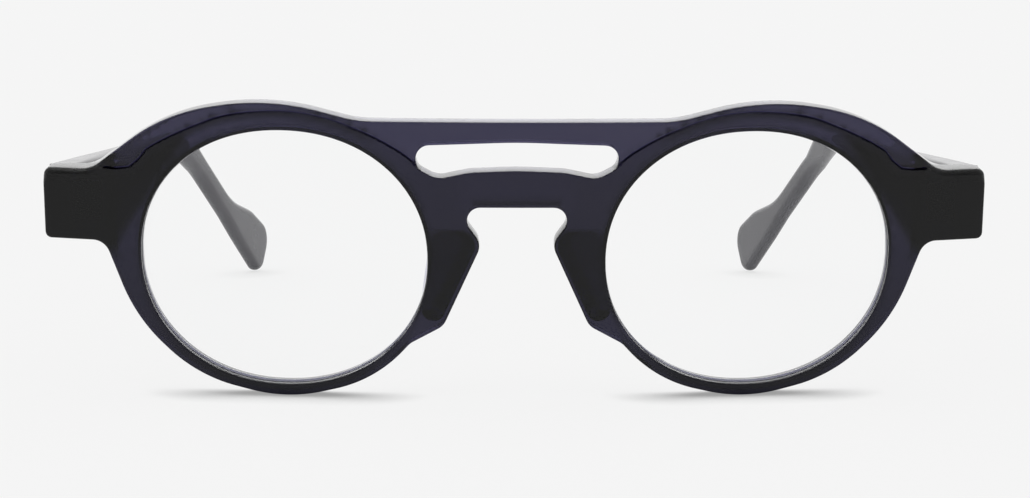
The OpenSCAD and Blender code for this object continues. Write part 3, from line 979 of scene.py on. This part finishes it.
def clipped(path, loops, clear):
    """The stretches of an open path that lie inside the loops, and clear of them."""
    pts = [tuple(p) for p in path]
    keep = inside(pts, loops) & ~near(pts, loops, clear)
    runs = [[]]
    for p, kept in zip(path, keep):
        if kept:
            runs[-1].append(p)
        else:
            runs.append([])
    return [run for run in runs if len(run) > 1]


# Rounds of a nose pad from the front: a corner by the nose, their middles from it, their radii
PAD_ROUNDS = ((NOSE_TOE, (1.5, 1.7), 1.7), (NOSE_HEAD, (3.2, -0.9), 2.2), (NOSE_HEAD, (5.8, -0.3), 1.6))
# Rings of a pad: share of its depth, how far outwards they move, and how much smaller they are
PAD_RINGS = ((0, 0, 0), (0.15, 0, 0.02), (0.3, 0, 0.11), (0.45, 0.12, 0.2), (0.6, 0.36, 0.33),
             (0.72, 0.62, 0.46), (0.82, 0.9, 0.6))
# What the round at a pad's end adds to its last ring, and in how many steps
PAD_END, PAD_END_STEPS = (0.18, 0.5, 0.9), 8
PAD_DEPTH, PAD_PLAY = 5.5, 0.04


class EYEGLASS_OT_pads(bpy.types.Operator):
    """Build the two nose pads behind the front"""

    bl_idname = "eyeglass.pads"
    bl_label = "Nose pads"

    def execute(self, context):
        pat = Pattern()
        rounds = []
        for (u, v, _), off, r in PAD_ROUNDS:
            rounds.append((Vector((pat.inner_u + u, pat.lens_v + v)) + Vector(off), r))
        back = pat.under(pat.inner_u, pat.sheet) + PAD_DEPTH
        steps = list(PAD_RINGS)
        for k in range(1, PAD_END_STEPS + 1):
            t = math.pi / 2 * k / PAD_END_STEPS
            grown = (math.sin(t), math.sin(t), 1 - math.cos(t))
            steps.append([a + b * c for a, b, c in zip(PAD_RINGS[-1], PAD_END, grown)])
        for name, side in SIDES:
            bm = bmesh.new()
            rings = []
            for part, move, less in steps:
                ring = []
                for a in range(0, 360, 3):
                    d = Vector((cosd(a), sind(a)))
                    ring.append(max((c + d * (r - less) for c, r in rounds), key=lambda q: q.dot(d)))
                made = []
                for p in evenly(spaced(ring, gap=0.25), 96):
                    start = pat.under(p.x, pat.sheet) + PAD_PLAY
                    q = pat.place(p.x + move, start + (back - start) * part, p.y)
                    made.append(bm.verts.new((side * q.x, q.y, q.z)))
                rings.append(made)
            for a, b in zip(rings, rings[1:]):
                band(bm, a, b)
            bm.faces.new(rings[0])
            bm.faces.new(rings[-1])
            obj = new_object("nose_pad_acetate_" + name, bm, degrees=35)
            finish_piece(obj, material("pad_acetate", translucent_acetate(colours().pad_density)),
                         "front", "nose_pad_" + name)
        return {"FINISHED"}


def evenly(path, count):
    """The closed path again, with count points evenly along it, from its rightmost point."""
    start = max(range(len(path)), key=lambda i: path[i].x)
    path = path[start:] + path[:start] + [path[start]]
    lengths = [0]
    for a, b in zip(path, path[1:]):
        lengths.append(lengths[-1] + (b - a).length)
    out, i = [], 0
    for k in range(count):
        at = lengths[-1] * k / count
        while lengths[i + 1] < at:
            i += 1
        t = (at - lengths[i]) / max(1e-9, lengths[i + 1] - lengths[i])
        out.append(path[i].lerp(path[i + 1], t))
    return out


class EYEGLASS_OT_temples(bpy.types.Operator):
    """Build the two temples with their rounded edges"""

    bl_idname = "eyeglass.temples"
    bl_label = "Temples"

    def execute(self, context):
        shape = TempleShape(Pattern())
        full = sizes().temple_round / MM

        def round_at(p):
            return shape.round_at(p.x, full)

        loops = [{"path": turned(shape.side(), True), "rounds": (round_at, round_at)}]
        for name, side in SIDES:
            def place(y, x, z):
                return Vector((side * x, y, z)) * MM

            obj = slab("temple_acetate_" + name, loops, lambda p: shape.inn(p.x), lambda p: shape.out(p.x),
                       place, gap=1.2)
            finish_piece(obj, material("dense_acetate", dense_acetate), name + "_temple",
                         "temple_" + name)
        return {"FINISHED"}


class TempleShape:
    """Side view and plan of the left temple, in millimetres in the row's frame."""

    shaft_height, shaft_drop, bend_length = 4.2, 1.5, 98.5
    tip_radius, tip_length = 2.8, 20
    # Degrees that the ear end drops, and that the shaft and the ear end run inwards
    drop, toe, tip_toe = 36.5, 3.1, 16.3
    # Thickness at the end piece, at the bend and at the tip
    thick = (4, 3.2, 2.3)
    # Radius of the bend, seen from the side and from above
    bend_radius, plan_radius = 36, 88
    # Corners of the ear end's edges: from its foot, off its middle line, and round
    upper = ((tip_length, shaft_height / 2 + 0.2, 25), (9.5, 6.1, 12), (-1.9, 7.8, 4.4))
    lower = ((-tip_radius, -tip_radius, tip_radius), (12, -2.5, 30), (tip_length, -shaft_height / 2, 30))
    # Play and steps at the end piece, its round, and how far the plan runs past both ends
    play, step, least_round, past = 0.03, 0.25, 0.3, 6

    def __init__(self, pat):
        self.pat = pat
        self.y0 = pat.stand_y(pat.butt_y, pat.end_top) + pat.shift_y
        self.top = pat.stand_z(pat.butt_y, pat.end_top) - pat.low_z
        self.low = pat.stand_z(pat.butt_y, pat.end_bottom) - pat.low_z
        self.bend_y = self.y0 + self.bend_length
        self.shaft_top = self.top - self.shaft_drop
        self.mid_z = self.shaft_top - self.shaft_height / 2
        self.tip_y = self.bend_y + (self.mid_z - self.tip_radius) / tand(self.drop)
        self.plans = [self.plan(t) for t in ((0, 0, 0), self.thick)]

    def along(self, d, h, r):
        """A corner of the ear end, d from its foot along it and h above it."""
        return (self.tip_y - d * cosd(self.drop) + h * sind(self.drop),
                self.tip_radius + d * sind(self.drop) + h * cosd(self.drop), r)

    def side(self):
        """The side view as a closed path: y to the right, z up."""
        pat, half = self.pat, self.shaft_height / 2
        cut = half * tand(self.drop / 2)
        face = pat.butt_y + self.play
        high, low = (pat.stand_y(face, v) + pat.shift_y for v in (pat.end_top, pat.end_bottom))
        path = [(high, self.top - self.step, self.least_round),
                (self.bend_y + cut, self.shaft_top, self.bend_radius + half)]
        path += [self.along(*point) for point in self.upper + self.lower]
        path += [(self.bend_y - cut, self.mid_z - half, self.bend_radius - half),
                 (self.y0 + 20, self.low + 0.6, 90),
                 (low, self.low + self.step, self.least_round)]
        return spaced(rounded(path, gap=0.5), gap=0.6)

    def plan(self, thick):
        """A side seen from above as an open path, so thick inside the outer face."""
        mid = (self.toe + self.tip_toe) / 2
        slant = Vector((cosd(mid), sind(mid))) / cosd(mid - self.toe)
        tip_slant = Vector((cosd(self.tip_toe), sind(self.tip_toe)))
        start = Vector((self.pat.half_w + self.past * tand(self.toe) - thick[0], self.y0 - self.past))
        bend = Vector((self.pat.half_w - self.bend_length * tand(self.toe), self.bend_y))
        end_y = self.tip_y + self.tip_radius + self.past
        tip = bend + (end_y - self.bend_y) / cosd(self.tip_toe) * Vector((-tip_slant.y, tip_slant.x))
        a, b, c = start, bend - thick[1] * slant, tip - thick[2] * tip_slant
        return [a, *arc(a, b, c, self.plan_radius, steps=24), c]

    def at(self, which, y):
        points = self.plans[which]
        for a, b in zip(points, points[1:]):
            if y <= b.y:
                return a.x + (b.x - a.x) * (y - a.y) / (b.y - a.y)
        return points[-1].x

    def out(self, y):
        return self.at(0, y) - 0.2 * (1 - rise(y - self.y0, 0, 30))

    def inn(self, y):
        return self.at(1, y)

    def round_at(self, y, full):
        """Round of the long edges, small at the end piece."""
        front = 0.4 + 0.6 * rise(y - self.y0, 0.5, 3)
        return min(0.47 * (self.out(y) - self.inn(y)), toward(0.35, full, rise(y - self.y0, 2, 40)) * front)


LENS_ROUND = 0.06


class EYEGLASS_OT_lenses(bpy.types.Operator):
    """Finish the two clear lenses"""

    bl_idname = "eyeglass.lenses"
    bl_label = "Lenses"

    def execute(self, context):
        pat = Pattern()
        near_face, far_face = FRONT["lens_in"], FRONT["lens_in"] + FRONT["lens_thick"]
        ridge = (-FRONT["lens_edge"] - LENS_ROUND, lambda p: pat.under(p.x, (near_face + far_face) / 2))
        loops = [{"path": turned(pat.hole(-LENS_ROUND), True),
                  "rounds": (even(LENS_ROUND), even(LENS_ROUND)), "wall": [ridge]}]
        for name, side in SIDES:
            def place(u, y, v):
                return pat.place(side * u, y, v)

            obj = slab("clear_lens_" + name, loops, lambda p: pat.under(p.x, near_face),
                       lambda p: pat.under(p.x, far_face), place, gap=2.5)
            finish_piece(obj, material("clear_lens", clear_lens), "front", "lens_" + name)
            obj.visible_shadow = False
        return {"FINISHED"}


class EYEGLASS_OT_hinges(bpy.types.Operator):
    """Finish the hinges, their screws and the temple cores"""

    bl_idname = "eyeglass.hinges"
    bl_label = "Hinges"

    def execute(self, context):
        metal = material("satin_metal", satin_metal)
        for name, _ in SIDES:
            for part in ("hinge_front_", "hinge_temple_", "hinge_screw_", "temple_core_"):
                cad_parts[part + name].material_slots[0].material = metal
        return {"FINISHED"}


class EYEGLASS_PT_panel(bpy.types.Panel):
    """Panel in the sidebar of the 3D view"""

    bl_idname = "EYEGLASS_PT_panel"
    bl_label = "Eyeglasses"
    bl_space_type = "VIEW_3D"
    bl_region_type = "UI"
    bl_category = "Eyeglasses"

    def draw(self, context):
        for operator in OPERATORS:
            self.layout.operator(operator.bl_idname)
        for group in (sizes(), colours()):
            for name in group.__annotations__:
                self.layout.prop(group, name)


OPERATORS = (EYEGLASS_OT_camera, EYEGLASS_OT_stage, EYEGLASS_OT_front, EYEGLASS_OT_pads,
             EYEGLASS_OT_temples, EYEGLASS_OT_lenses, EYEGLASS_OT_hinges)
CLASSES = (EyeglassSizes, EyeglassColours, *OPERATORS, EYEGLASS_PT_panel)


def register():
    for cls in CLASSES:
        bpy.utils.register_class(cls)
    bpy.types.Scene.eyeglass_sizes = bpy.props.PointerProperty(type=EyeglassSizes)
    bpy.types.Scene.eyeglass_colours = bpy.props.PointerProperty(type=EyeglassColours)


def unregister():
    del bpy.types.Scene.eyeglass_colours
    del bpy.types.Scene.eyeglass_sizes
    for cls in reversed(CLASSES):
        bpy.utils.unregister_class(cls)


def main():
    register()
    bpy.ops.eyeglass.camera()
    bpy.ops.eyeglass.stage()
    bpy.ops.eyeglass.front()
    bpy.ops.eyeglass.pads()
    bpy.ops.eyeglass.temples()
    bpy.ops.eyeglass.lenses()
    bpy.ops.eyeglass.hinges()


if __name__ == "__main__":
    main()
